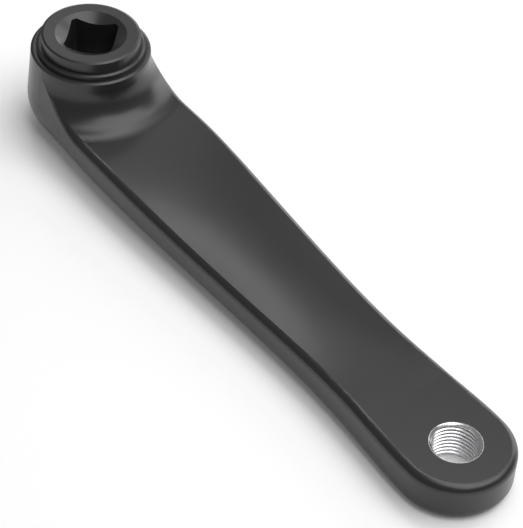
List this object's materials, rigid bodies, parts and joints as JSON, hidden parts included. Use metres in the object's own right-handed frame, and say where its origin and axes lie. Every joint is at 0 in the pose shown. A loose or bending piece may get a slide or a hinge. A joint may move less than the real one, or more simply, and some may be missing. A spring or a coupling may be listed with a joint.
{
  "type": "bicycle crank arm",
  "caption": "Right-hand bicycle crank arm with a stepped boss, a square-taper socket and extractor recess, a crowned arm and a threaded pedal eye, in satin black.",
  "frame": {"origin": "on the spindle's axis, in the plane of the outer face that the arm rests on", "axes": "+X along the arm from the spindle's axis to the pedal's axis, +Z along the spindle towards the frame, +Y to the left of +X seen from the frame's side"},
  "size_m": [0.2047, 0.038, 0.0319],
  "materials": {
    "black_paint": "satin, fine-grained",
    "bare_metal": "freshly cut"
  },
  "bodies": {
    "root": {"crank_arm": "black_paint"}
  },
  "joints": []
}
